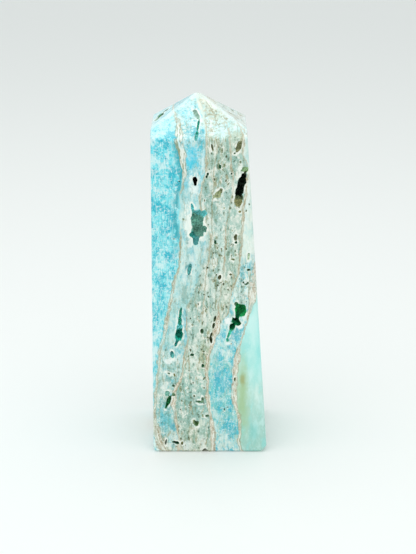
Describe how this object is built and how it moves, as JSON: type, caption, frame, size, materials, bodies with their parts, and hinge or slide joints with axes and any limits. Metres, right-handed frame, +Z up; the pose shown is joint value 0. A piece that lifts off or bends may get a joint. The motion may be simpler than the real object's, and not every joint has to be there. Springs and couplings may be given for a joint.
{
  "type": "blue aragonite tower",
  "caption": "Polished blue aragonite tower: a leaning four-sided stone taper with a low pyramid tip, soft edges, banded colour and natural vugs.",
  "frame": {"origin": "centre of the sawn foot, on the plane the tower stands on", "axes": "+Z up to the tip; -Y out of the face with the large grey-green vugs; +X to that face's right, towards the side that leans in"},
  "size_m": [0.0321, 0.032, 0.0999],
  "materials": {
    "blue_aragonite": "polished"
  },
  "bodies": {
    "root": {"tower": "blue_aragonite"}
  },
  "joints": []
}
